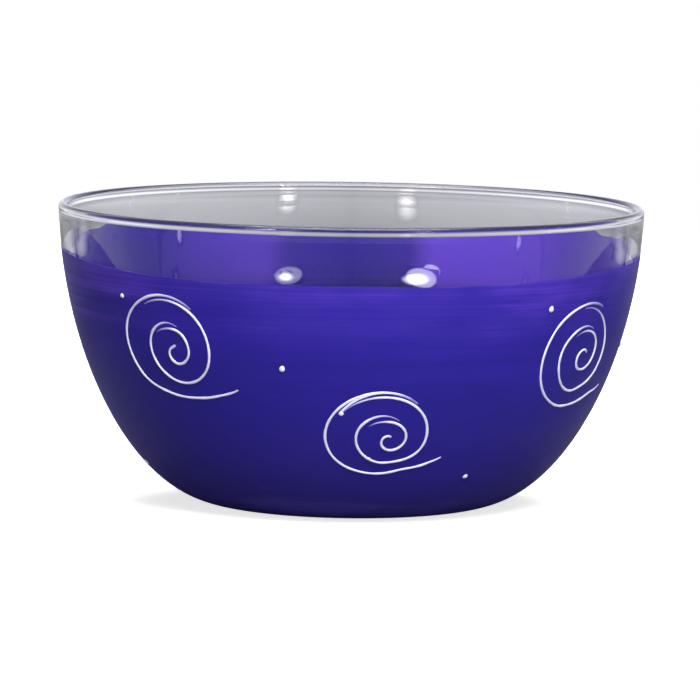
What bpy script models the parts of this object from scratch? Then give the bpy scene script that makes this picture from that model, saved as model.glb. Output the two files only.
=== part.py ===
"""Hand-painted glass bowl.

A clear pressed-glass bowl, coated outside with violet-blue paint up to a clear band below the rim.
Raised white enamel swirls and dots lie on the coat. +Z is up, the origin is the middle of the foot,
and -Y is the side that shows a low swirl between two high ones. Sizes below are in millimetres.
"""

import math

import bmesh
import bpy
from mathutils import Vector

METRES = 0.001  # one millimetre in Blender's metres

# Glass
RIM_RADIUS = 140.0  # outside of the rim, an 11 inch bowl
HEIGHT = 143.0
FOOT_RADIUS = 62.0  # edge of the flat foot, where the heel starts to turn up
WALL_POWER = 1.80  # higher: the wall stays upright for longer below the rim
HEEL_POWER = 1.91  # higher: the heel turns up from the foot more suddenly
RIM_THICKNESS = 4.6  # the rim is fully round
BASE_THICKNESS = 6.5  # the wall thickens evenly from the rim down to this
RECESS_RADIUS = 48.0  # shallow dish under the foot, so that it rests on a ring
RECESS_DEPTH = 1.2
RECESS_DRAFT = 1.0  # how much narrower the recess is at its ceiling

# Paint
GAP = 0.3  # air kept between neighbouring solids
COAT_THICKNESS = 0.4
CLEAR_BAND = 24.5  # bare glass below the top of the rim
COAT_START = 1.4  # height on the heel where the coat begins, clear of the table
BASE_COAT_RADIUS = 46.0

# Enamel
LINE_WIDTH = 2.2
LINE_HEIGHT = 0.8
LINE_END = 0.55  # width of a line's two ends, as a part of its full width
DOT_RADIUS = 1.5
DOT_HEIGHT = 1.0

# One swirl: how far the line is from the swirl's middle at each angle that it has turned through.
# 0 degrees points right, 90 up the wall, and the line runs anticlockwise from its small inner hook.
SWIRL_TURNS = (
    (50, 2.5),
    (180, 4.0),
    (270, 6.2),
    (360, 8.8),
    (450, 10.8),
    (540, 14.5),
    (630, 16.0),
    (720, 19.5),
    (810, 23.5),
    (900, 29.0),
    (950, 28.0),
    (990, 25.0),
    (1015, 26.5),
)
TAIL_TURN = 1052  # where the tail ends; how far out it reaches differs from swirl to swirl
SWIRL_STEPS = 52

# High and low in turn round the wall: azimuth of the swirl's middle in degrees from -Y towards +X,
# its height, how tall the swirl is for its width, and how far out its tail reaches
SWIRLS = (
    (-37.8, 84.2, 1.00, 37.0),
    (8.9, 45.0, 0.93, 30.0),
    (55.9, 81.0, 1.04, 40.0),
    (122.0, 45.0, 0.96, 34.0),
    (189.0, 83.0, 1.00, 38.0),
    (256.0, 45.5, 0.94, 33.0),
)
# After each high swirl comes a dot at half height, after each low one a dot near the heel,
# and each high swirl has one more dot above its left side.
DOTS = (
    (-51.0, 106.3),
    (-13.7, 77.6),
    (32.0, 24.0),
    (43.0, 104.8),
    (90.0, 77.0),
    (156.0, 23.5),
    (175.5, 105.5),
    (223.0, 78.0),
    (288.6, 21.5),
)

# Fineness of the facets
SEGMENTS = 64
WALL_STEPS = 15
INNER_STEPS = 11
COAT_STEPS = 12
RIM_STEPS = 6
DOT_SEGMENTS = 10
STEP_CROWDING = 2.4  # above 1: profile steps crowd towards the tightly curved heel
TINY = 0.001  # smallest height at which the heel's slope is read


def wall_radius(height):
    """Outside radius of the glass at a height above the table."""
    from_rim = 1 - height / HEIGHT
    rise = (1 - from_rim**WALL_POWER) ** (1 / HEEL_POWER)
    return FOOT_RADIUS + (RIM_RADIUS - FOOT_RADIUS) * rise


def wall_normal(height):
    """Unit vector out of the glass, as (outward, up), at a height above the table."""
    low = max(height - TINY, 0.0)
    high = min(height + TINY, HEIGHT)
    slope = (wall_radius(high) - wall_radius(low)) / (high - low)
    length = math.hypot(1.0, slope)
    return 1.0 / length, -slope / length


def wall_point(height, offset):
    """Profile point (radius, height) at a distance off the glass's outside; inwards is negative."""
    outward, up = wall_normal(height)
    return wall_radius(height) + outward * offset, height + up * offset


def crowded_heights(lowest, highest, steps):
    """Heights from lowest to highest, closer together near the table."""
    first = (lowest / HEIGHT) ** (1 / STEP_CROWDING)
    last = (highest / HEIGHT) ** (1 / STEP_CROWDING)
    return [HEIGHT * (first + (last - first) * i / steps) ** STEP_CROWDING for i in range(steps + 1)]


def wall_distances():
    """Pairs (distance down the wall from the rim, height), from the rim to the foot."""
    heights = crowded_heights(0.0, HEIGHT, 400)[::-1]
    pairs = [(0.0, HEIGHT)]
    for above, below in zip(heights, heights[1:]):
        length = math.hypot(wall_radius(above) - wall_radius(below), above - below)
        pairs.append((pairs[-1][0] + length, below))
    return pairs


WALL_DISTANCES = wall_distances()


def between(pairs, value, key, result):
    """Read one column of a rising or falling list of pairs from the other."""
    for first, second in zip(pairs, pairs[1:]):
        low, high = sorted((first[key], second[key]))
        if low <= value <= high:
            part = (value - first[key]) / (second[key] - first[key])
            return first[result] + part * (second[result] - first[result])
    return pairs[-1][result]


def material(name, colour, roughness, transmission=0.0):
    """Principled material with one colour."""
    made = bpy.data.materials.new(name)
    made.use_nodes = True
    shader = made.node_tree.nodes["Principled BSDF"]
    shader.inputs["Base Color"].default_value = (*colour, 1.0)
    shader.inputs["Roughness"].default_value = roughness
    shader.inputs["Metallic"].default_value = 0.0
    shader.inputs["Transmission Weight"].default_value = transmission
    shader.inputs["IOR"].default_value = 1.52 if transmission else 1.5
    return made


def add_object(name, shape, finish, sharp_angle=40.0):
    """Turn a bmesh in millimetres into a named, smooth-shaded object in metres."""
    bmesh.ops.recalc_face_normals(shape, faces=shape.faces)
    bmesh.ops.scale(shape, verts=shape.verts, vec=Vector((METRES, METRES, METRES)))
    mesh = bpy.data.meshes.new(name)
    shape.to_mesh(mesh)
    shape.free()
    mesh.shade_smooth()
    mesh.set_sharp_from_angle(angle=math.radians(sharp_angle))
    mesh.materials.append(finish)
    made = bpy.data.objects.new(name, mesh)
    bpy.context.scene.collection.objects.link(made)
    return made


def turned(profile, closed):
    """Spin a profile of (radius, height) points once about Z."""
    shape = bmesh.new()
    points = [shape.verts.new((radius, 0.0, height)) for radius, height in profile]
    edges = [shape.edges.new(pair) for pair in zip(points, points[1:])]
    if closed:
        edges.append(shape.edges.new((points[-1], points[0])))
    bmesh.ops.spin(
        shape,
        geom=points + edges,
        cent=(0, 0, 0),
        axis=(0, 0, 1),
        angle=math.tau,
        steps=SEGMENTS,
        use_merge=True,
    )
    bmesh.ops.remove_doubles(shape, verts=shape.verts, dist=0.001)
    return shape


def glass_profile():
    """Half section of the bowl, from the axis under the foot, over the rim, to the axis inside."""
    rim = RIM_THICKNESS / 2
    ceiling_radius = RECESS_RADIUS - RECESS_DRAFT
    points = [(0.0, RECESS_DEPTH), (ceiling_radius, RECESS_DEPTH), (RECESS_RADIUS, 0.0)]
    points += [wall_point(height, 0.0) for height in crowded_heights(0.0, HEIGHT - rim, WALL_STEPS)]
    centre = wall_radius(HEIGHT - rim) - rim
    for i in range(1, RIM_STEPS):
        angle = math.pi * i / RIM_STEPS
        points.append((centre + rim * math.cos(angle), HEIGHT - rim + rim * math.sin(angle)))
    for height in reversed(crowded_heights(0.0, HEIGHT - rim, INNER_STEPS)):
        down = 1 - height / (HEIGHT - rim)
        thickness = RIM_THICKNESS + (BASE_THICKNESS - RIM_THICKNESS) * down
        points.append(wall_point(height, -thickness))
    points.append((0.0, BASE_THICKNESS))
    return points


def make_glass():
    finish = material("clear_glass", (0.90, 0.92, 0.95), 0.02, transmission=1.0)
    add_object("glass_bowl", turned(glass_profile(), closed=False), finish)


def make_paint():
    """The coat round the wall, and the disc of the same paint in the recess under the foot."""
    finish = material("violet_blue_paint", (0.045, 0.018, 0.32), 0.25)
    heights = crowded_heights(COAT_START, HEIGHT - CLEAR_BAND, COAT_STEPS)
    outside = [wall_point(height, GAP + COAT_THICKNESS) for height in heights]
    inside = [wall_point(height, GAP) for height in reversed(heights)]
    add_object("paint_coat", turned(outside + inside, closed=True), finish)

    top = RECESS_DEPTH - GAP
    bottom = top - COAT_THICKNESS
    disc = [(0.0, bottom), (BASE_COAT_RADIUS, bottom), (BASE_COAT_RADIUS, top), (0.0, top)]
    add_object("base_coat", turned(disc, closed=False), finish)


def on_coat(azimuth, height, lift):
    """Point and outward normal on the coated wall, lifted off the coat; azimuth in radians."""
    radius, level = wall_point(height, 2 * GAP + COAT_THICKNESS + lift)
    outward, up = wall_normal(height)
    across, away = math.sin(azimuth), -math.cos(azimuth)
    point = Vector((radius * across, radius * away, level))
    return point, Vector((outward * across, outward * away, up))


def swirl_reach(turns, turn):
    """Distance of the line from the swirl's middle, smoothed through (turn, distance) pairs."""
    last = len(turns) - 1
    i = next((k for k in range(last) if turn <= turns[k + 1][0]), last - 1)
    (t1, r1), (t2, r2) = turns[i], turns[i + 1]
    t0, r0 = turns[max(i - 1, 0)]
    t3, r3 = turns[min(i + 2, last)]
    start_slope = (r2 - r0) / (t2 - t0) * (t2 - t1)
    end_slope = (r3 - r1) / (t3 - t1) * (t2 - t1)
    u = (turn - t1) / (t2 - t1)
    return (
        r1 * (2 * u**3 - 3 * u**2 + 1)
        + r2 * (3 * u**2 - 2 * u**3)
        + start_slope * (u**3 - 2 * u**2 + u)
        + end_slope * (u**3 - u**2)
    )


def swirl_route(azimuth, height, tallness, tail_reach):
    """Points and normals along one swirl, laid on the wall round its middle."""
    turns = SWIRL_TURNS + ((TAIL_TURN, tail_reach),)
    middle_distance = between(WALL_DISTANCES, height, 1, 0)
    middle_radius = wall_radius(height)
    first = turns[0][0]
    route = []
    for i in range(SWIRL_STEPS + 1):
        turn = first + (TAIL_TURN - first) * (i / SWIRL_STEPS) ** 0.8  # longer steps round the hook
        reach = swirl_reach(turns, turn)
        across = reach * math.cos(math.radians(turn))
        up_wall = reach * math.sin(math.radians(turn)) * tallness
        level = between(WALL_DISTANCES, middle_distance - up_wall, 0, 1)
        route.append(on_coat(math.radians(azimuth) + across / middle_radius, level, 0.0))
    return route


def bead(route):
    """Low rounded bead swept along a route: flat underneath, narrower at both ends."""
    half, top = LINE_WIDTH / 2, LINE_HEIGHT
    section = ((-half, 0.0), (half, 0.0), (0.75 * half, 0.7 * top), (0.0, top), (-0.75 * half, 0.7 * top))
    shape = bmesh.new()
    rings = []
    for i, (point, normal) in enumerate(route):
        before = route[max(i - 1, 0)][0]
        after = route[min(i + 1, len(route) - 1)][0]
        side = (after - before).cross(normal).normalized()
        from_end = min(i, len(route) - 1 - i)
        size = LINE_END + (1 - LINE_END) * min(from_end / 3, 1.0)
        ring = [shape.verts.new(point + (side * a + normal * b) * size) for a, b in section]
        rings.append(ring)
    for ring, following in zip(rings, rings[1:]):
        for k in range(len(section)):
            n = (k + 1) % len(section)
            shape.faces.new((ring[k], ring[n], following[n], following[k]))
    shape.faces.new(rings[0])
    shape.faces.new(reversed(rings[-1]))
    return shape


def dome(azimuth, height):
    """Low round dot of enamel standing on the coat."""
    point, normal = on_coat(math.radians(azimuth), height, 0.0)
    shape = bmesh.new()
    bmesh.ops.create_uvsphere(shape, u_segments=DOT_SEGMENTS, v_segments=6, radius=1.0)
    bmesh.ops.bisect_plane(
        shape,
        geom=shape.verts[:] + shape.edges[:] + shape.faces[:],
        plane_co=(0, 0, 0),
        plane_no=(0, 0, 1),
        clear_inner=True,
    )
    bmesh.ops.holes_fill(shape, edges=[edge for edge in shape.edges if edge.is_boundary])
    bmesh.ops.scale(shape, verts=shape.verts, vec=(DOT_RADIUS, DOT_RADIUS, DOT_HEIGHT))
    bmesh.ops.rotate(shape, verts=shape.verts, matrix=normal.to_track_quat("Z", "Y").to_matrix())
    bmesh.ops.translate(shape, verts=shape.verts, vec=point)
    return shape


def make_enamel():
    finish = material("white_enamel", (0.86, 0.84, 0.95), 0.3)
    for i, swirl in enumerate(SWIRLS, start=1):
        add_object(f"enamel_swirl_{i}", bead(swirl_route(*swirl)), finish)
    for i, (azimuth, height) in enumerate(DOTS, start=1):
        add_object(f"enamel_dot_{i}", dome(azimuth, height), finish)


for existing in list(bpy.data.objects):
    bpy.data.objects.remove(existing, do_unlink=True)
make_glass()
make_paint()
make_enamel()
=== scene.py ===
# %% [markdown]
# # A hand-painted glass bowl
# The real object is one thick bowl of clear pressed glass. Its outside is brushed with violet-blue
# glass paint up to a bare band below the rim, and white enamel is laid on the paint from a fine
# nozzle, as raised swirls and dots. Three things make its look: how light goes through the bare
# glass, the soft streaks of the brush, and the small raised lines.
#
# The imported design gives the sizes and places. Each of its plain solids is replaced here by a finer
# piece in the same place.

# %% Load the frame
import math
import random

import bpy
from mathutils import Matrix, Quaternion, Vector
from mathutils.kdtree import KDTree


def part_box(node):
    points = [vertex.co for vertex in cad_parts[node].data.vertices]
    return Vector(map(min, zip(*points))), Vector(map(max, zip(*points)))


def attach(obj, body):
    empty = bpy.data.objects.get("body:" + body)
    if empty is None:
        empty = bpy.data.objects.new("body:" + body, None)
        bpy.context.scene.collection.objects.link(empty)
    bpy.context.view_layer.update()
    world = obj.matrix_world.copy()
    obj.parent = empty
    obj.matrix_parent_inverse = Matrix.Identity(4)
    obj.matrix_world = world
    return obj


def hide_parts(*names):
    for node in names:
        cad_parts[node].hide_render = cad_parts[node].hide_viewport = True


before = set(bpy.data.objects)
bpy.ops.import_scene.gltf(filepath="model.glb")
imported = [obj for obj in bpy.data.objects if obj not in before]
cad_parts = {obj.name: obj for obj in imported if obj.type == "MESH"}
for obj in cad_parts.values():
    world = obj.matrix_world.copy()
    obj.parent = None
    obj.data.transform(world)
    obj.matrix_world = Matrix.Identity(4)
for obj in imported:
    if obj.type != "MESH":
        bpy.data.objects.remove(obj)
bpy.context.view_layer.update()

# %% [markdown]
# ## Sizes
# Glass is measured in millimetres, Blender works in metres. The rim's radius and the height are read
# from the frame. The wall's outline is a formula with two powers: one keeps the wall upright under
# the rim, the other turns the heel up from the flat foot. A formula stays smooth at any fineness,
# and every piece that lies on the wall can ask it for a point and a normal.

# %% The outline of the wall
MM = 0.001
glass_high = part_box("glass_bowl")[1]
RIM_RADIUS = glass_high.x / MM
HEIGHT = glass_high.z / MM
FOOT_RADIUS = 62.0
WALL_POWER = 1.80
HEEL_POWER = 1.91
STEP_CROWDING = 2.4  # above 1: steps crowd towards the tightly curved heel
SLOPE_STEP = 0.001  # how far apart two heights are read for a slope


def wall_radius(height):
    """Outside radius of the glass at a height above the table, in millimetres."""
    rise = (1 - (1 - height / HEIGHT) ** WALL_POWER) ** (1 / HEEL_POWER)
    return FOOT_RADIUS + (RIM_RADIUS - FOOT_RADIUS) * rise


def wall_normal(height):
    """Unit vector out of the glass, as (outward, up)."""
    low, high = max(height - SLOPE_STEP, 0.0), min(height + SLOPE_STEP, HEIGHT)
    slope = (wall_radius(high) - wall_radius(low)) / (high - low)
    length = math.hypot(1.0, slope)
    return 1.0 / length, -slope / length


def wall_point(height, offset):
    """Outline point (radius, height) at a distance off the glass; inwards is negative."""
    outward, up = wall_normal(height)
    return wall_radius(height) + outward * offset, height + up * offset


def crowded_heights(lowest, highest, steps):
    """Heights from lowest to highest, closer together near the table."""
    first, last = ((edge / HEIGHT) ** (1 / STEP_CROWDING) for edge in (lowest, highest))
    return [HEIGHT * (first + (last - first) * i / steps) ** STEP_CROWDING for i in range(steps + 1)]


print(f"rim radius {RIM_RADIUS:.1f} mm, height {HEIGHT:.1f} mm, foot radius {FOOT_RADIUS:.1f} mm")

# %% [markdown]
# ## Turning an outline
# A pressed bowl is round because its mould was turned, so the model is turned too. By hand this is:
# add a point, extrude it along the outline, spin the line once about the upright axis, and merge the
# seam. Doing the same with a sphere or a cylinder would give the wrong wall and no real rim.

# %% Helpers for modelling
ROUND_STEPS = 256  # enough for a smooth outline in a large picture
MERGE_DISTANCE = 0.00001
SHARP_EDGE = math.radians(50)  # edges that turn more than this are shaded as edges


def deselect_all():
    """Operators act on all that is selected, so each piece starts with nothing selected."""
    if bpy.context.object and bpy.context.object.mode != "OBJECT":
        bpy.ops.object.mode_set(mode="OBJECT")
    bpy.ops.object.select_all(action="DESELECT")


def start_line(name, first):
    """A new mesh of one point: a plane whose corners are merged at its middle."""
    deselect_all()
    bpy.ops.mesh.primitive_plane_add(size=MM, location=(0, 0, 0))
    piece = bpy.context.object
    piece.name = piece.data.name = name
    bpy.ops.object.mode_set(mode="EDIT")
    bpy.ops.mesh.merge(type="CENTER")
    bpy.ops.transform.translate(value=first)
    return piece


def turn_outline(name, outline, closed):
    """Extrude a point along an outline of (radius, height) in millimetres, and spin it about Z."""
    places = [Vector((radius, 0, height)) * MM for radius, height in outline]
    piece = start_line(name, places[0])
    for here, there in zip(places, places[1:]):
        bpy.ops.mesh.extrude_region_move(TRANSFORM_OT_translate={"value": there - here})
    bpy.ops.mesh.select_all(action="SELECT")
    if closed:
        bpy.ops.mesh.edge_face_add()
        bpy.ops.mesh.delete(type="ONLY_FACE")
        bpy.ops.mesh.select_all(action="SELECT")
    bpy.ops.mesh.spin(steps=ROUND_STEPS, angle=math.tau, center=(0, 0, 0), axis=(0, 0, 1))
    bpy.ops.mesh.select_all(action="SELECT")
    bpy.ops.mesh.remove_doubles(threshold=MERGE_DISTANCE)
    bpy.ops.mesh.normals_make_consistent(inside=False)
    bpy.ops.object.mode_set(mode="OBJECT")
    return piece


def finish_piece(piece, material, slot, *nodes):
    """Shade a piece, give it its finish, and let it stand for its solids in the frame."""
    deselect_all()
    piece.select_set(True)
    bpy.context.view_layer.objects.active = piece
    bpy.ops.object.transform_apply(location=True, rotation=True, scale=True)
    bpy.ops.object.shade_smooth_by_angle(angle=SHARP_EDGE)
    piece.data.materials.clear()
    piece.data.materials.append(material)
    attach(piece, "root")
    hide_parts(*nodes)
    print(f"{piece.name}: {len(piece.data.polygons)} faces")


# %% [markdown]
# ## Finishes
# Every finish here is one Principled shader. Colours are written as sRGB hex values, as a paint chart
# gives them, and one function turns them into the linear values that light is computed in.

# %% Helpers for finishes
def linear(hex_colour):
    """Linear colour from an sRGB hex value such as '#331D98'."""
    parts = [int(hex_colour[i:i + 2], 16) / 255 for i in (1, 3, 5)]
    curve = [p / 12.92 if p <= 0.04045 else ((p + 0.055) / 1.055) ** 2.4 for p in parts]
    return (*curve, 1.0)


def new_finish(name, colour, roughness, ior):
    """A material and its Principled shader, with the values that are the same all over."""
    material = bpy.data.materials.new(name)
    material.use_nodes = True
    shader = material.node_tree.nodes["Principled BSDF"]
    shader.inputs["Base Color"].default_value = linear(colour)
    shader.inputs["Roughness"].default_value = roughness
    shader.inputs["IOR"].default_value = ior
    return material, shader


def add_node(tree, kind, settings=(), values=(), links=()):
    """Add a node, set its properties and input values, and link inputs from other sockets."""
    node = tree.nodes.new(kind)
    for key, value in dict(settings).items():
        setattr(node, key, value)
    for key, value in dict(values).items():
        node.inputs[key].default_value = value
    for key, socket in dict(links).items():
        tree.links.new(socket, node.inputs[key])
    return node


# %% [markdown]
# ### Pressed soda-lime glass
# Ordinary bowl glass: it bends light with an index of about 1.52 and has next to no colour. Pressing
# leaves the surface very slightly wavy over a few centimetres, which is what makes reflections in
# glassware swim, so the finish has a faint, wide bump and no roughness.

# %% Finish: pressed glass
RIPPLE_WIDTH = 35 * MM
RIPPLE_HEIGHT = 0.04 * MM

glass_finish, shader = new_finish("pressed_soda_lime_glass", "#F6F7FB", 0.0, 1.52)
shader.inputs["Transmission Weight"].default_value = 1.0
tree = glass_finish.node_tree
place = add_node(tree, "ShaderNodeTexCoord")
ripple = add_node(
    tree, "ShaderNodeTexNoise",
    values={"Scale": 1 / RIPPLE_WIDTH, "Detail": 1.0},
    links={"Vector": place.outputs["Object"]},
)
bump = add_node(
    tree, "ShaderNodeBump",
    values={"Strength": 1.0, "Distance": RIPPLE_HEIGHT},
    links={"Height": ripple.outputs["Fac"]},
)
tree.links.new(bump.outputs["Normal"], shader.inputs["Normal"])

# %% [markdown]
# ### Brushed glass paint
# The bowl was turned on a banding wheel while a soft brush laid the paint, so the streaks run round
# it: each is a few millimetres tall and very long. A finer noise stands for the bristles, and a
# broad one for places where the brush was reloaded. The colour is read from a ramp by height. The
# paint lies thicker low down, where it is a deep navy, and thins to a lively violet near its upper
# edge; the ramp also holds painted light and shade, set to how bright the wall looks at each height:
# the foot is painted lighter, as by light from the table, and the brightest violet near the edge is
# in part a painted sheen. The noises shift the place at which the ramp is read.
#
# Two coats are needed, because the paint is seen from both sides: the outer one against the air,
# and the first one through the glass. The first one's colours were set to how the paint looks
# through the glass, so they hold painted light and shade as well as the paint's colour: it is deeper
# in the middle of the wall and stays violet near its edge. Dried glass paint is satin and reflects
# only weakly.

# %% Finish: brushed violet-blue paint, two coats
STREAK_HEIGHT = 6 * MM
STREAK_LENGTH = 260 * MM
BRISTLE_LENGTH = 90 * MM
BRISTLE_HEIGHT = 1.3 * MM  # real bristle marks are finer; drawn this coarse so that they show
PATCH_HEIGHT = 30 * MM
PATCH_LENGTH = 80 * MM
RIDGE_HEIGHT = 0.03 * MM
STREAK_SHIFT = 34 * MM  # how far the noises can move the reading of the ramp
# Outer coat colours by height: the paint's own change, with painted light and shade in them; the foot
# is painted lighter than just above it
OUTER_BY_HEIGHT = (
    (0.0, "#40369A"),
    (0.08, "#2F2785"),
    (0.20, "#2E2688"),
    (0.42, "#29228A"),
    (0.60, "#2E2396"),
    (0.74, "#382A9E"),
    (0.84, "#4C34B2"),
    (1.0, "#6044C8"),
)
# Colours of the paint as seen through the glass, by height: the paint's colour with painted light and
# shade in it
FIRST_BY_HEIGHT = (
    (0.0, "#241C78"),
    (0.45, "#241C78"),
    (0.58, "#1A1262"),
    (0.68, "#2E1A9C"),
    (1.0, "#3A20BC"),
)
# Painted light: a glow of light from behind is mixed into the first coat's colour by place across
# the bowl and by height: (place across the bowl in metres, share of the painted glow)
PAINTED_GLOW_ACROSS = (
    (-0.105, 0.05), (-0.070, 0.45), (-0.045, 0.62), (-0.030, 0.12), (0.0, 0.0),
    (0.028, 0.15), (0.045, 1.0), (0.090, 1.0), (0.125, 0.40),
)
PAINTED_GLOW_FROM, PAINTED_GLOW_FULL = 78.0, 98.0  # heights between which the glow sets in
PAINTED_GLOW_COLOUR = "#7A4CE6"


def add_stops(ramp, stops):
    """Give a colour ramp its (position, colour) stops."""
    while len(ramp.elements) < len(stops):
        ramp.elements.new(0.5)
    for element, (position, colour) in zip(ramp.elements, stops):
        element.position, element.color = position, colour


def brushed_paint(name, by_height, specular, streak_shift):
    """A brushed coat whose colour is read from (share of the height, colour) pairs."""
    finish, shader = new_finish(name, by_height[-1][1], 0.45, 1.5)
    shader.inputs["Specular IOR Level"].default_value = specular
    tree = finish.node_tree
    place = add_node(tree, "ShaderNodeTexCoord")
    layers = []
    for length, tall in ((STREAK_LENGTH, STREAK_HEIGHT), (BRISTLE_LENGTH, BRISTLE_HEIGHT),
                         (PATCH_LENGTH, PATCH_HEIGHT)):
        space = add_node(
            tree, "ShaderNodeMapping",
            values={"Scale": (1 / length, 1 / length, 1 / tall)},
            links={"Vector": place.outputs["Object"]},
        )
        layers.append(add_node(
            tree, "ShaderNodeTexNoise",
            values={"Scale": 1.0, "Detail": 3.0, "Roughness": 0.6},
            links={"Vector": space.outputs["Vector"]},
        ))
    streaks, bristles, patches = (layer.outputs["Fac"] for layer in layers)
    fine = add_node(
        tree, "ShaderNodeMix",
        settings={"data_type": "FLOAT"},
        values={"Factor": 0.4},
        links={"A": streaks, "B": bristles},
    )
    both = add_node(
        tree, "ShaderNodeMix",
        settings={"data_type": "FLOAT"},
        values={"Factor": 0.45},
        links={"A": fine.outputs["Result"], "B": patches},
    )
    shift = add_node(
        tree, "ShaderNodeMapRange",
        values={"From Min": 0.3, "From Max": 0.7, "To Min": -streak_shift, "To Max": streak_shift},
        links={"Value": both.outputs["Result"]},
    )
    axes = add_node(tree, "ShaderNodeSeparateXYZ", links={"Vector": place.outputs["Object"]})
    read_at = add_node(
        tree, "ShaderNodeMath",
        settings={"operation": "ADD"},
        links={0: axes.outputs["Z"], 1: shift.outputs["Result"]},
    )
    share = add_node(
        tree, "ShaderNodeMapRange",
        values={"From Min": 0.0, "From Max": HEIGHT * MM},
        links={"Value": read_at.outputs["Value"]},
    )
    shades = add_node(tree, "ShaderNodeValToRGB", links={"Fac": share.outputs["Result"]})
    add_stops(shades.color_ramp, [(position, linear(colour)) for position, colour in by_height])
    tree.links.new(shades.outputs["Color"], shader.inputs["Base Color"])
    ridges = add_node(
        tree, "ShaderNodeBump",
        values={"Strength": 0.5, "Distance": RIDGE_HEIGHT},
        links={"Height": bristles},
    )
    tree.links.new(ridges.outputs["Normal"], shader.inputs["Normal"])
    return finish, tree, shades.outputs["Color"]


paint_finish = brushed_paint(
    "brushed_blue_violet_glass_paint", OUTER_BY_HEIGHT, 0.10, STREAK_SHIFT,
)[0]
first_coat_finish, tree, body_colour = brushed_paint(
    "first_coat_violet_glass_paint", FIRST_BY_HEIGHT, 0.0, STREAK_SHIFT / 4,
)
place = add_node(tree, "ShaderNodeTexCoord")
axes = add_node(tree, "ShaderNodeSeparateXYZ", links={"Vector": place.outputs["Object"]})
across = add_node(
    tree, "ShaderNodeMapRange",
    values={"From Min": -RIM_RADIUS * MM, "From Max": RIM_RADIUS * MM},
    links={"Value": axes.outputs["X"]},
)
# Share of the painted glow of light from behind, read by place across the bowl
thin = add_node(tree, "ShaderNodeValToRGB", links={"Fac": across.outputs["Result"]})
thin.color_ramp.interpolation = "EASE"
add_stops(
    thin.color_ramp,
    [((x / (RIM_RADIUS * MM) + 1) / 2, (share, share, share, 1)) for x, share in PAINTED_GLOW_ACROSS],
)
near_edge = add_node(
    tree, "ShaderNodeMapRange",
    settings={"interpolation_type": "SMOOTHSTEP"},
    values={"From Min": PAINTED_GLOW_FROM * MM, "From Max": PAINTED_GLOW_FULL * MM},
    links={"Value": axes.outputs["Z"]},
)
painted_glow_here = add_node(
    tree, "ShaderNodeMath",
    settings={"operation": "MULTIPLY"},
    links={0: thin.outputs["Color"], 1: near_edge.outputs["Result"]},
)
# Painted light: the first coat's colour is mixed towards the painted glow's violet
glowing = add_node(
    tree, "ShaderNodeMix",
    settings={"data_type": "RGBA"},
    links={"Factor": painted_glow_here.outputs["Value"], "A": body_colour},
)
glowing.inputs["B"].default_value = linear(PAINTED_GLOW_COLOUR)
shader = tree.nodes["Principled BSDF"]
tree.links.new(glowing.outputs["Result"], shader.inputs["Base Color"])

# %% [markdown]
# ### Raised white enamel
# Outline enamel is thick and opaque where the nozzle went slowly, and thin where a stroke runs out,
# so that the paint shows through it as lavender. Each line carries an attribute that says how thin
# it is, and the colour follows it. A fine, low bump stands for the slightly grainy dried surface.

# %% Finish: raised white enamel
GRAIN_WIDTH = 0.6 * MM
ENAMEL_WHITE, ENAMEL_THIN = "#ECE8FF", "#5A4DB8"

enamel_finish, shader = new_finish("raised_white_enamel", ENAMEL_WHITE, 0.36, 1.5)
tree = enamel_finish.node_tree
thinness = add_node(tree, "ShaderNodeAttribute", settings={"attribute_name": "thinness"})
body = add_node(
    tree, "ShaderNodeMix",
    settings={"data_type": "RGBA"},
    links={"Factor": thinness.outputs["Fac"]},
)
body.inputs["A"].default_value = linear(ENAMEL_WHITE)
body.inputs["B"].default_value = linear(ENAMEL_THIN)
tree.links.new(body.outputs["Result"], shader.inputs["Base Color"])
place = add_node(tree, "ShaderNodeTexCoord")
grain = add_node(
    tree, "ShaderNodeTexNoise",
    values={"Scale": 1 / GRAIN_WIDTH, "Detail": 2.0},
    links={"Vector": place.outputs["Object"]},
)
bump = add_node(
    tree, "ShaderNodeBump",
    values={"Strength": 0.3, "Distance": 0.1 * MM},
    links={"Height": grain.outputs["Fac"]},
)
tree.links.new(bump.outputs["Normal"], shader.inputs["Normal"])

# %% [markdown]
# ## The glass
# The outline runs from the axis under the foot, round the heel, up the wall, over the fully round
# rim, and down inside. The inner wall is the outer one moved inwards by a thickness that grows from
# rim to base, as pressing leaves it. Both sides need real thickness, because the picture in the bare
# band comes from light that bends in and out of it.
#
# Fire polishing leaves the rim a quarter of a millimetre thicker than the wall below it. That tiny
# bead is a prism: just under the rim it lifts the view over the far wall's paint, and a bright line
# appears all the way round.

# %% Model: the glass bowl
RIM_THICKNESS = 4.6
BEAD = 0.25  # how much thicker the rim is than the wall just below it
BEAD_HEIGHT = 2.4  # how far below the rim's round part the bead fades into the wall
BASE_THICKNESS = 6.5
RECESS_RADIUS = 48.0
RECESS_DEPTH = 1.2
UNDER_PAINT = 0.1  # the foot stands on its paint, this far above the table

rim_half = RIM_THICKNESS / 2
wall_top = HEIGHT - rim_half


def recess(lift):
    """Underside outline from the axis to the foot ring, with a rounded step, raised by lift."""
    points = [(0.0, RECESS_DEPTH + lift), (0.6 * RECESS_RADIUS, RECESS_DEPTH + lift)]
    for i in range(9):
        turn = math.pi * i / 8
        points.append((
            RECESS_RADIUS - 1.5 + 3 * i / 8,
            lift + RECESS_DEPTH * (1 + math.cos(turn)) / 2,
        ))
    return points


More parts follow.
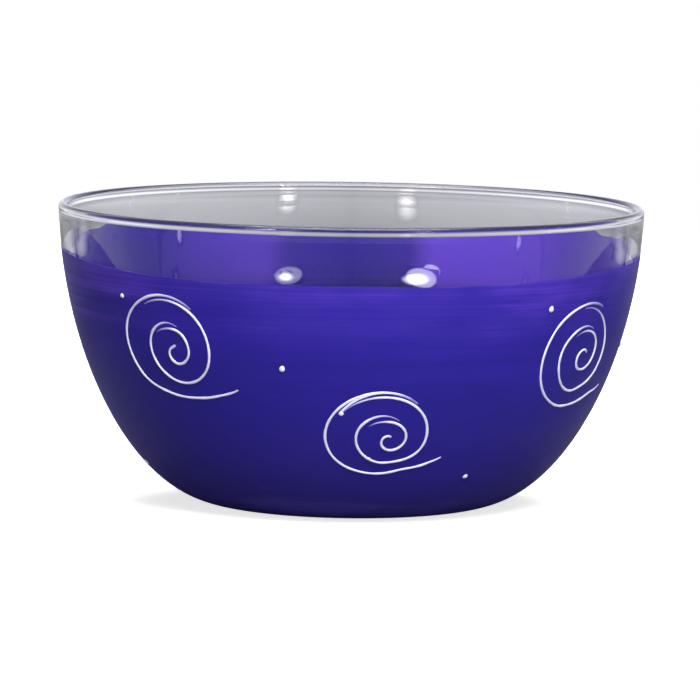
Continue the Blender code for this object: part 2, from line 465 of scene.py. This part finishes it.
outline = recess(UNDER_PAINT)
for height in crowded_heights(0.0, wall_top, 70):
    radius, level = wall_point(height, 0.0)
    outline.append((radius, max(level, UNDER_PAINT)))
for i in range(1, 20):
    turn = math.pi * i / 20
    middle = wall_radius(wall_top) - rim_half
    outline.append((middle + rim_half * math.cos(turn), wall_top + rim_half * math.sin(turn)))
for i in range(12):
    down = BEAD_HEIGHT * i / 12
    bead = BEAD * (1 + math.cos(math.pi * i / 12)) / 2
    outline.append(wall_point(wall_top - down, -(RIM_THICKNESS - BEAD + bead)))
wall_low = wall_top - BEAD_HEIGHT
for height in reversed(crowded_heights(0.0, wall_low, 60)):
    thickening = (BASE_THICKNESS - RIM_THICKNESS + BEAD) * (1 - height / wall_low)
    outline.append(wall_point(height, -(RIM_THICKNESS - BEAD + thickening)))
outline.append((0.5 * FOOT_RADIUS, BASE_THICKNESS))
outline.append((0.0, BASE_THICKNESS))

glass = turn_outline("glass", outline, closed=False)
finish_piece(glass, glass_finish, "clear_glass", "glass_bowl")

# %% [markdown]
# ## The coat of paint
# Paint has body: it is a thin shell that hugs the glass, with an edge at the bare band. Its inner
# side lies a hair inside the glass, so that no air is left between them. Then the paint seen through
# the wall is as bright as it is on the real bowl, where the two are bonded. A brush never stops
# quite level, so the upper edge wanders a little.

# %% Model: the coat
COAT_OUT = 0.10
COAT_IN = 0.04
BAND_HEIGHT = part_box("paint_coat")[1].z / MM
EDGE_WAVES = (1.2, -2.3, -2.6, 1.0, 0.2)  # sizes of the waves round the bowl, longest first
EDGE_REACH = 18.0  # how far below its edge the coat follows the edge's ups and downs


def edge_rise(azimuth):
    """Height of the paint's edge above its mean: low in front, with the unsteadiness of a hand."""
    sweep = sum(size * math.cos(k * azimuth) for k, size in enumerate(EDGE_WAVES))
    return sweep + 0.25 * math.sin(7 * azimuth + 2.0) + 0.15 * math.sin(19 * azimuth)


paint_heights = crowded_heights(0.0, BAND_HEIGHT, 80)
outline = recess(0.0)
for height in paint_heights:
    radius, level = wall_point(height, COAT_OUT)
    outline.append((radius, max(level, 0.0)))
for height in reversed(paint_heights):
    radius, level = wall_point(height, -COAT_IN)
    outline.append((radius, max(level, UNDER_PAINT + COAT_IN)))
outline += recess(UNDER_PAINT + COAT_IN)[::-1]

coat = turn_outline("paint_coat_fine", outline, closed=False)
for point in coat.data.vertices:
    level = point.co.z / MM
    below = BAND_HEIGHT - level
    if below < EDGE_REACH:
        azimuth = math.atan2(point.co.x, -point.co.y)
        radius = math.hypot(point.co.x, point.co.y) / MM
        raised = level + edge_rise(azimuth) * (1 - max(below, 0.0) / EDGE_REACH)
        radius += wall_radius(raised) - wall_radius(level)
        point.co = Vector((radius * math.sin(azimuth), -radius * math.cos(azimuth), raised)) * MM
finish_piece(coat, paint_finish, "violet_paint", "paint_coat", "base_coat")
coat.data.materials.append(first_coat_finish)
foot_level = (RECESS_DEPTH + 1) * MM  # below this the coat lies flat under the foot
for face in coat.data.polygons:
    under = face.center.z < foot_level and face.center.xy.length < FOOT_RADIUS * MM
    away = Vector((0, 0, -1)) if under else Vector((face.center.x, face.center.y, 0))
    face.material_index = int(face.normal.dot(away) < 0)

# %% [markdown]
# ## The enamel swirls
# Each swirl is drawn flat first, as strokes of a nozzle: a small hook, a middle turn and an outer
# turn that runs out in a tail. Where one stroke ends and the next begins, at the top, both are thin
# and lie side by side. A curve with a round bevel gives a stroke its body and its points' radii give
# it its taper. Cutting the tube in half leaves a bead with a flat back, and the bead is then wrapped
# round the wall, as if the drawing were a transfer.

# %% Swirl strokes: the routes of the nozzle
LINE_WIDTH = 1.25
LINE_HEIGHT = 0.5
POINT_SPACING = 0.6

# Each stroke is a list of (angle in degrees that the line has turned through, distance from the
# swirl's middle in millimetres); at 0 the line is to the right of the middle, at 90 above it.
ROUND_SWIRL = (
    ((100, 2.0), (155, 2.6), (201, 5.2), (254, 6.9), (321, 6.6), (384, 7.2), (432, 9.2),
     (475, 11.0), (505, 13.4)),
    ((440, 11.4), (476, 14.0), (530, 16.0), (602, 16.0), (676, 17.4), (735, 18.4), (793, 22.0),
     (848, 26.4)),
    ((782, 22.8), (842, 28.3), (889, 32.3), (927, 30.1), (962, 24.8), (1000, 24.2),
     (1030, 28.8), (1050, 35.7)),
)
WIDE_SWIRL = (
    ((90, 1.5), (190, 4.2), (248, 5.7), (325, 6.4), (380, 7.4), (422, 8.5), (469, 10.4),
     (506, 12.8)),
    ((434, 10.8), (480, 14.4), (530, 16.1), (600, 14.4), (645, 13.2), (697, 15.8), (743, 17.6),
     (800, 21.6), (866, 26.6)),
    ((782, 21.8), (835, 26.9), (890, 30.2), (920, 28.7), (957, 23.0), (990, 19.8), (1016, 19.5),
     (1044, 24.4), (1058, 28.8)),
    ((792, 23.1), (830, 26.2), (868, 27.2)),
)
TALL_SWIRL = (
    ((42, 2.6), (110, 3.4), (170, 4.9), (237, 6.2), (279, 7.0), (335, 9.0), (412, 11.2),
     (455, 12.5), (495, 14.4)),
    ((436, 13.6), (490, 17.0), (530, 19.0), (569, 18.2), (623, 17.7), (652, 17.3), (695, 20.0),
     (765, 19.6), (828, 25.0)),
    ((792, 24.8), (832, 27.2), (871, 30.2), (915, 30.6), (961, 27.0), (1000, 25.4),
     (1034, 29.5), (1052, 38.1)),
)

# Azimuth of the swirl's middle in degrees from -Y towards +X, its height, the strokes' routes, and
# how tall it is for its width. Only the first three could be measured.
SWIRLS = (
    (-37.3, 82.7, ROUND_SWIRL, 1.0),
    (9.7, 43.6, WIDE_SWIRL, 1.0),
    (57.1, 78.9, TALL_SWIRL, 1.0),
    (122.0, 45.0, ROUND_SWIRL, 0.88),
    (189.0, 83.0, WIDE_SWIRL, 1.06),
    (256.0, 45.5, TALL_SWIRL, 0.90),
)

# Width left at a stroke's start, the share of its length over which it widens to the full line, and
# how thin the enamel is there; then the same for its end.
STROKE_ENDS = (
    ((0.85, 0.05, 0.4), (0.45, 0.22, 1.0)),
    ((0.45, 0.12, 0.9), (0.45, 0.16, 0.9)),
    ((0.80, 0.16, 0.9), (0.70, 0.06, 0.3)),
    ((0.60, 0.30, 0.6), (0.90, 0.05, 0.0)),
)

# Small knots where the nozzle stopped for a moment: swirl number, turn, distance, radius
KNOTS = ((2, 868, 26.8, 1.1), (2, 590, 14.5, 0.8), (5, 868, 26.8, 1.0))


def smooth_between(pairs, value):
    """Read a smooth curve through (position, result) pairs."""
    last = len(pairs) - 1
    i = next((k for k in range(last) if value <= pairs[k + 1][0]), last - 1)
    (t1, r1), (t2, r2) = pairs[i], pairs[i + 1]
    (t0, r0), (t3, r3) = pairs[max(i - 1, 0)], pairs[min(i + 2, last)]
    start_slope = (r2 - r0) / (t2 - t0) * (t2 - t1)
    end_slope = (r3 - r1) / (t3 - t1) * (t2 - t1)
    u = (value - t1) / (t2 - t1)
    return (r1 * (2 * u**3 - 3 * u**2 + 1) + r2 * (3 * u**2 - 2 * u**3)
            + start_slope * (u**3 - 2 * u**2 + u) + end_slope * (u**3 - u**2))


def stroke_points(turns, tallness):
    """Evenly spaced flat points (across, up) along one stroke."""
    first, last = turns[0][0], turns[-1][0]
    fine = []
    for i in range(600):
        turn = first + (last - first) * i / 599
        reach = smooth_between(turns, turn)
        angle = math.radians(turn)
        fine.append(Vector((reach * math.cos(angle), reach * math.sin(angle) * tallness)))
    kept = [fine[0]]
    for point in fine:
        if (point - kept[-1]).length >= POINT_SPACING:
            kept.append(point)
    return kept


# %% Wrapping a flat drawing round the wall
RULER_STEPS = 600
WALL_RULER = [(0.0, HEIGHT)]
downwards = crowded_heights(0.0, HEIGHT, RULER_STEPS)[::-1]
for above, below in zip(downwards, downwards[1:]):
    step = math.hypot(wall_radius(above) - wall_radius(below), above - below)
    WALL_RULER.append((WALL_RULER[-1][0] + step, below))


def read_ruler(value, given, wanted):
    """Height at a distance down the wall from the rim, or the other way round."""
    for first, second in zip(WALL_RULER, WALL_RULER[1:]):
        low, high = sorted((first[given], second[given]))
        if low <= value <= high:
            part = (value - first[given]) / (second[given] - first[given])
            return first[wanted] + part * (second[wanted] - first[wanted])
    return WALL_RULER[-1][wanted]


def wrap_on_wall(piece, azimuth, height):
    """Move a piece drawn flat, X across, Y up and Z out, in metres, onto the painted wall."""
    down_to_middle = read_ruler(height, 1, 0)
    middle_radius = wall_radius(height)
    levels = {}
    for point in piece.data.vertices:
        across, up, out = point.co / MM
        key = round(up, 2)
        if key not in levels:
            levels[key] = read_ruler(down_to_middle - up, 0, 1)
        radius, level = wall_point(levels[key], COAT_OUT - 0.02 + out)
        turn = math.radians(azimuth) + across / middle_radius
        point.co = Vector((radius * math.sin(turn), -radius * math.cos(turn), level)) * MM


print(f"the wall is {WALL_RULER[-1][0]:.1f} mm long from rim to foot")

# %% Model: one stroke as a half-round bead
random.seed(11)


def taper(done, start_end, finish_end):
    """Share of the full line at a part of the way along: thin over each end's length."""
    start = start_end[0] + (1 - start_end[0]) * min(done / start_end[1], 1.0)
    finish = finish_end[0] + (1 - finish_end[0]) * min((1 - done) / finish_end[1], 1.0)
    return min(start, finish)


def add_stroke(points, start_end, finish_end):
    """A beaded curve through flat points, made a mesh and cut in half lengthwise."""
    deselect_all()
    bpy.ops.curve.primitive_nurbs_path_add()
    stroke = bpy.context.object
    curve = stroke.data
    curve.splines.clear()
    spline = curve.splines.new("POLY")
    spline.points.add(len(points) - 1)
    phase = random.uniform(0, math.tau)
    finder = KDTree(len(points))
    for i, point in enumerate(points):
        done = i / (len(points) - 1)
        unsteady = 1 + 0.07 * math.sin(0.21 * i + phase) + 0.05 * math.sin(0.57 * i + 2 * phase)
        spline.points[i].co = (point.x * MM, point.y * MM, 0, 1)
        spline.points[i].radius = taper(done, start_end, finish_end) * unsteady
        finder.insert((point.x * MM, point.y * MM, 0), i)
    finder.balance()
    curve.dimensions = "2D"
    curve.bevel_depth = LINE_WIDTH / 2 * MM
    curve.bevel_resolution = 3
    curve.use_fill_caps = True
    bpy.ops.object.convert(target="MESH")
    stroke = bpy.context.object
    bpy.ops.object.mode_set(mode="EDIT")
    bpy.ops.mesh.select_all(action="SELECT")
    bpy.ops.mesh.remove_doubles(threshold=MERGE_DISTANCE)
    bpy.ops.mesh.select_all(action="SELECT")
    bpy.ops.mesh.bisect(plane_co=(0, 0, 0), plane_no=(0, 0, 1), clear_inner=True, use_fill=True)
    bpy.ops.mesh.select_all(action="SELECT")
    bpy.ops.transform.resize(value=(1, 1, LINE_HEIGHT / (LINE_WIDTH / 2)))
    bpy.ops.mesh.normals_make_consistent(inside=False)
    bpy.ops.object.mode_set(mode="OBJECT")
    thinness = stroke.data.attributes.new("thinness", "FLOAT", "POINT")
    for number, point in enumerate(stroke.data.vertices):
        nearest = finder.find((point.co.x, point.co.y, 0))[1]
        thin = thin_at(nearest / (len(points) - 1), start_end, finish_end)
        thinness.data[number].value = thin
        point.co.z *= 1 - 0.6 * thin
    return stroke


def thin_at(done, start_end, finish_end):
    """How thin the enamel is at a part of the way along, from 0 for full body to 1."""
    start = start_end[2] * max(1 - done / start_end[1], 0.0)
    finish = finish_end[2] * max(1 - (1 - done) / finish_end[1], 0.0)
    return max(start, finish)


def add_drop(size, height):
    """A half-round drop of enamel, lying flat at the middle."""
    deselect_all()
    bpy.ops.mesh.primitive_uv_sphere_add(segments=32, ring_count=16, radius=size * MM)
    drop = bpy.context.object
    bpy.ops.object.mode_set(mode="EDIT")
    bpy.ops.mesh.select_all(action="SELECT")
    bpy.ops.mesh.bisect(plane_co=(0, 0, 0), plane_no=(0, 0, 1), clear_inner=True, use_fill=True)
    bpy.ops.mesh.select_all(action="SELECT")
    bpy.ops.transform.resize(value=(1, 1, height / size))
    bpy.ops.object.mode_set(mode="OBJECT")
    drop.data.attributes.new("thinness", "FLOAT", "POINT")
    return drop


# %% Model: the six swirls
for number, (azimuth, height, routes, tallness) in enumerate(SWIRLS, start=1):
    parts = [
        add_stroke(stroke_points(route, tallness), *ends) for route, ends in zip(routes, STROKE_ENDS)
    ]
    for swirl_number, turn, reach, size in KNOTS:
        if swirl_number == number:
            knot = add_drop(size, LINE_HEIGHT * 1.2)
            angle = math.radians(turn)
            knot.location = Vector((math.cos(angle), math.sin(angle) * tallness, 0)) * reach * MM
            bpy.ops.object.transform_apply(location=True, rotation=False, scale=False)
            parts.append(knot)
    deselect_all()
    for part in parts:
        part.select_set(True)
    bpy.context.view_layer.objects.active = parts[0]
    bpy.ops.object.join()
    swirl = bpy.context.object
    swirl.name = swirl.data.name = f"swirl_{number}"
    wrap_on_wall(swirl, azimuth, height)
    finish_piece(swirl, enamel_finish, "white_enamel", f"enamel_swirl_{number}")

# %% [markdown]
# ## The enamel dots
# A dot is a drop that was touched down and lifted away: a low dome, a little drawn out to the side
# on which the nozzle left. A sphere is the start, its lower half is cut off, and the rest is pushed
# into a drop, then laid on the wall like the swirls.

# %% Model: the dots
DOTS = (
    (-50.6, 105.7, 1.15, 200),
    (-13.7, 76.9, 1.35, 70),
    (32.3, 23.8, 1.15, 215),
    (42.9, 103.3, 1.35, 80),
    (90.0, 77.0, 1.35, 30),
    (156.0, 23.5, 1.25, 160),
    (175.5, 105.5, 1.30, 100),
    (223.0, 78.0, 1.40, 250),
    (287.8, 21.5, 1.35, 310),
)
DRAWN_OUT = 0.30  # how far the nozzle pulls a drop's rim, as a share of its radius
DROP_HEIGHT = 0.65  # of a drop, as a share of its radius
for number, (azimuth, height, size, drawn_to) in enumerate(DOTS, start=1):
    dot = add_drop(size, size * DROP_HEIGHT)
    dot.name = dot.data.name = f"dot_{number}"
    toward = Vector((math.cos(math.radians(drawn_to)), math.sin(math.radians(drawn_to)), 0))
    for point in dot.data.vertices:
        along = max(point.co.dot(toward) / (size * MM), 0.0)
        point.co += toward * (DRAWN_OUT * size * MM * along**3)
    wrap_on_wall(dot, azimuth, height)
    finish_piece(dot, enamel_finish, "white_enamel", f"enamel_dot_{number}")

# %% [markdown]
# ## The studio
# Glass shows its surroundings more than itself, so the surroundings are set with care. The camera
# sees a plain pale floor and a white backdrop. Reflections and bent light see a dim room instead: a
# dark table, a backdrop that is bright at the horizon, and soft lamps in front and behind. Matt
# paint and clear glass want different lamps: the paint one broad lamp in front, the glass small
# bright shapes in the right places. So each lamp is made visible only where it is wanted.

# %% The table
TABLE_RADIUS = 0.9
TABLE_GREY = "#4E4E54"
deselect_all()
bpy.ops.mesh.primitive_circle_add(vertices=128, radius=TABLE_RADIUS, fill_type="NGON")
table = bpy.context.object
table.name = "table"
table_finish, shader = new_finish("grey_table", TABLE_GREY, 0.7, 1.5)
tree = table_finish.node_tree
place = add_node(tree, "ShaderNodeTexCoord")
axes = add_node(tree, "ShaderNodeSeparateXYZ", links={"Vector": place.outputs["Object"]})
around = add_node(
    tree, "ShaderNodeVectorMath", settings={"operation": "LENGTH"}, links={0: place.outputs["Object"]},
)
tone = None
for distance, nearest, farthest, colour in (
    (axes.outputs["Y"], 0.25, 0.60, "#A8A8AE"),  # a pale sheet behind
    (around.outputs["Value"], 0.42, 0.26, "#808088"),  # a round mat under the bowl
):
    share = add_node(
        tree, "ShaderNodeMapRange",
        settings={"interpolation_type": "SMOOTHSTEP"},
        values={"From Min": nearest, "From Max": farthest},
        links={"Value": distance},
    )
    mixed = add_node(
        tree, "ShaderNodeMix",
        settings={"data_type": "RGBA"},
        links={"Factor": share.outputs["Result"]},
    )
    mixed.inputs["A"].default_value = linear(TABLE_GREY)
    mixed.inputs["B"].default_value = linear(colour)
    if tone:
        tree.links.new(tone, mixed.inputs["A"])
    tone = mixed.outputs["Result"]
tree.links.new(tone, shader.inputs["Base Color"])
table.data.materials.append(table_finish)
table.visible_camera = table.visible_shadow = False

# %% [markdown]
# The floor that the camera sees is a plain pale disc, on which the bowl throws a soft shadow. It is
# kept out of reflections and out of what the glass lets through, where the grey table takes its
# place. A bright floor there would lay a grey veil over the violet in the bare band.

# %% The floor
FLOOR_RADIUS = 1.6
FLOOR_DROP = 0.0005  # just under the grey table, so that the two don't fight
FLOOR_GLOW = 0.7  # evens the light out towards the edge
deselect_all()
bpy.ops.mesh.primitive_circle_add(
    vertices=128, radius=FLOOR_RADIUS, fill_type="NGON", location=(0, 0, -FLOOR_DROP)
)
floor = bpy.context.object
floor.name = "floor"
floor_finish, shader = new_finish("pale_floor", "#F2F2F4", 0.9, 1.5)
shader.inputs["Emission Color"].default_value = linear("#FFFFFF")
shader.inputs["Emission Strength"].default_value = FLOOR_GLOW
floor.data.materials.append(floor_finish)
floor.visible_diffuse = floor.visible_glossy = floor.visible_transmission = False


# %% The room
def grey_ramp(tree, level, stops):
    """Brightness of the room by height: stops are (height of the direction from -1 to 1, value)."""
    node = add_node(tree, "ShaderNodeValToRGB", links={"Fac": level})
    ramp = node.color_ramp
    ramp.interpolation = "EASE"
    add_stops(ramp, [((z + 1) / 2, (grey, grey, grey * ROOM_COOLNESS, 1)) for z, grey in stops])
    return node


ROOM_COOLNESS = 1.04
BRIGHTER_BESIDE = 1.4  # the backdrop is a little darker straight behind the bowl
ROOM_ON_PAINT = 0.3  # the room is dimmer for matt surfaces, so that the key lamp shapes them
world = bpy.data.worlds.new("room")
bpy.context.scene.world = world
world.use_nodes = True
tree = world.node_tree
tree.nodes.clear()
toward = add_node(tree, "ShaderNodeTexCoord")
axes = add_node(tree, "ShaderNodeSeparateXYZ", links={"Vector": toward.outputs["Generated"]})
level = add_node(
    tree, "ShaderNodeMapRange",
    values={"From Min": -1.0, "From Max": 1.0},
    links={"Value": axes.outputs["Z"]},
)
behind = grey_ramp(
    tree, level.outputs["Result"],
    ((-0.13, 0.16), (-0.10, 0.30), (-0.0845, 0.50), (-0.075, 0.24), (-0.03, 0.50), (0.0, 0.85),
     (0.06, 0.80), (0.5, 0.40)),
)
front = grey_ramp(
    tree, level.outputs["Result"],
    ((0.0, 0.50), (0.06, 0.45), (0.17, 0.14), (0.40, 0.20), (0.60, 0.45), (0.9, 0.6)),
)
sides = grey_ramp(
    tree, level.outputs["Result"],
    ((-0.10, 0.10), (0.0, 0.35), (0.16, 0.40), (0.30, 0.30), (0.9, 0.5)),
)
sideways = add_node(
    tree, "ShaderNodeMath", settings={"operation": "ABSOLUTE"}, links={0: axes.outputs["X"]},
)
room_colour = front.outputs["Color"]
for distance, nearest, farthest, part in (
    (sideways.outputs["Value"], 0.35, 0.85, sides),
    (axes.outputs["Y"], 0.15, 0.7, behind),
):
    share = add_node(
        tree, "ShaderNodeMapRange",
        settings={"interpolation_type": "SMOOTHSTEP"},
        values={"From Min": nearest, "From Max": farthest},
        links={"Value": distance},
    )
    mixed = add_node(
        tree, "ShaderNodeMix",
        settings={"data_type": "RGBA"},
        links={"Factor": share.outputs["Result"]},
    )
    tree.links.new(room_colour, mixed.inputs["A"])
    tree.links.new(part.outputs["Color"], mixed.inputs["B"])
    room_colour = mixed.outputs["Result"]
path = add_node(tree, "ShaderNodeLightPath")
for_paint = add_node(
    tree, "ShaderNodeMapRange",
    values={"To Min": 1.0, "To Max": ROOM_ON_PAINT},
    links={"Value": path.outputs["Is Diffuse Ray"]},
)
beside = add_node(
    tree, "ShaderNodeMapRange",
    values={"From Min": 0.0, "From Max": 0.06, "To Min": 1.0, "To Max": BRIGHTER_BESIDE},
    links={"Value": sideways.outputs["Value"]},
)
strength = add_node(
    tree, "ShaderNodeMath",
    settings={"operation": "MULTIPLY"},
    links={0: for_paint.outputs["Result"], 1: beside.outputs["Result"]},
)
room = add_node(
    tree, "ShaderNodeBackground",
    links={"Color": room_colour, "Strength": strength.outputs["Value"]},
)
white = add_node(tree, "ShaderNodeBackground", values={"Color": (1, 1, 1, 1)})
choice = add_node(
    tree, "ShaderNodeMixShader",
    links={
        0: path.outputs["Is Camera Ray"],
        1: room.outputs["Background"],
        2: white.outputs["Background"],
    },
)
add_node(tree, "ShaderNodeOutputWorld", links={"Surface": choice.outputs["Shader"]})

# %% The lamps
MIDDLE_OF_BOWL = Vector((0, 0, HEIGHT / 2 * MM))


def aim_at_bowl(thing, azimuth, elevation, distance):
    """Put a lamp or card round the bowl, facing it; azimuth from -Y towards +X, in degrees."""
    a, e = math.radians(azimuth), math.radians(elevation)
    back = Vector((math.sin(a) * math.cos(e), -math.cos(a) * math.cos(e), math.sin(e)))
    thing.location = MIDDLE_OF_BOWL + back * distance
    thing.rotation_mode = "QUATERNION"
    thing.rotation_quaternion = (-back).to_track_quat("-Z", "Y")
    thing.visible_camera = False


def add_lamp(name, azimuth, elevation, distance, size, radiance):
    """An area lamp that lights the paint and the table."""
    light = bpy.data.lights.new(name, "AREA")
    light.shape = "RECTANGLE"
    light.size, light.size_y = size
    light.energy = radiance * math.pi * size[0] * size[1]
    lamp = bpy.data.objects.new(name, light)
    bpy.context.scene.collection.objects.link(lamp)
    aim_at_bowl(lamp, azimuth, elevation, distance)
    return lamp


def add_card(name, azimuth, elevation, distance, size, radiance, core):
    """A glowing card with soft edges, seen only in and through the glass; core is its even share."""
    deselect_all()
    bpy.ops.mesh.primitive_plane_add(size=2)
    card = bpy.context.object
    card.name = name
    card.scale = (size[0] / 2, size[1] / 2, 1)
    aim_at_bowl(card, azimuth, elevation, distance)
    finish, shader = new_finish(name + "_glow", "#000000", 1.0, 1.5)
    shader.inputs["Emission Color"].default_value = linear("#FFFCFF")
    tree = finish.node_tree
    place = add_node(tree, "ShaderNodeTexCoord")
    outwards = add_node(
        tree, "ShaderNodeVectorMath",
        settings={"operation": "LENGTH"},
        links={0: place.outputs["Object"]},
    )
    glow = add_node(
        tree, "ShaderNodeMapRange",
        settings={"interpolation_type": "SMOOTHSTEP"},
        values={"From Min": core, "From Max": 1.0, "To Min": radiance, "To Max": 0.0},
        links={"Value": outwards.outputs["Value"]},
    )
    tree.links.new(glow.outputs["Result"], shader.inputs["Emission Strength"])
    card.data.materials.append(finish)
    card.visible_diffuse = card.visible_shadow = False


# name, azimuth, elevation, distance, (width, height), radiance, even share
for card_values in (
    ("left_softbox", -34.3, 24.3, 1.6, (0.42, 0.13), 90, 0.4),
    ("left_bounce", -38.6, 22.2, 1.65, (0.26, 0.09), 40, 0.3),
    ("right_softbox", 30, 24.5, 1.6, (0.38, 0.125), 6, 0.8),
    ("right_bulb", 31.2, 24.6, 1.5, (0.13, 0.055), 300, 0.5),
    ("left_glow", -24.0, 5.4, 1.6, (0.30, 0.20), 11, 0.1),
    ("right_glow", 27.6, 4.2, 1.6, (0.28, 0.18), 14, 0.1),
    ("left_window", -88, 21, 1.7, (0.12, 0.34), 5, 0.2),
    ("right_window", 88, 21, 1.7, (0.12, 0.34), 5, 0.2),
    ("left_low_window", -80, 11.3, 1.7, (0.10, 0.12), 6, 0.2),
    ("right_low_window", 82, 10.5, 1.7, (0.10, 0.12), 6, 0.2),
    ("left_glint", -21.6, -7.1, 0.438, (0.050, 0.018), 22, 0.3),
    ("right_glint", 21.9, -7.1, 0.438, (0.085, 0.026), 22, 0.4),
    ("left_floor_glow", -124, -4.2, 0.75, (0.20, 0.065), 1.5, 0.1),
    ("right_floor_glow", 124, -4.2, 0.75, (0.20, 0.065), 1.5, 0.1),
):
    add_card(*card_values)
for name in ("left_glint", "right_glint"):
    bpy.data.objects[name].visible_transmission = False  # not to be seen straight through the band

add_lamp("overhead", 0, 84, 1.5, (1.3, 1.3), 3.5)
for name, azimuth, size, radiance in (
    ("key", 12, (0.7, 0.6), 19.5),
    ("back_key", 180, (0.7, 0.6), 20),
):
    add_lamp(name, azimuth, 37, 1.7, size, radiance).visible_glossy = False
low_fill = add_lamp("low_fill", 14, 10, 1.7, (1.0, 0.4), 5.5)
low_fill.visible_glossy = low_fill.visible_transmission = False

# %% The camera
camera_data = bpy.data.cameras.new("camera")
camera = bpy.data.objects.new("camera", camera_data)
bpy.context.scene.collection.objects.link(camera)
bpy.context.scene.camera = camera
CAMERA_LENS = 271.6
camera_data.lens = CAMERA_LENS
camera_data.clip_end = 50.0
AIM = Vector((0.00025, 0, HEIGHT / 2 * MM + 0.001))
CAMERA_HEIGHT = 0.3434
CAMERA_DISTANCE = 2.52
CAMERA_ROLL = 0.80
camera.location = (0, -CAMERA_DISTANCE, CAMERA_HEIGHT)
camera.rotation_mode = "QUATERNION"
look = (AIM - camera.location).to_track_quat("-Z", "Y")
camera.rotation_quaternion = look @ Quaternion((0, 0, 1), math.radians(CAMERA_ROLL))
bpy.context.scene.view_settings.view_transform = "Standard"

# %% Update the scene
bpy.context.view_layer.update()
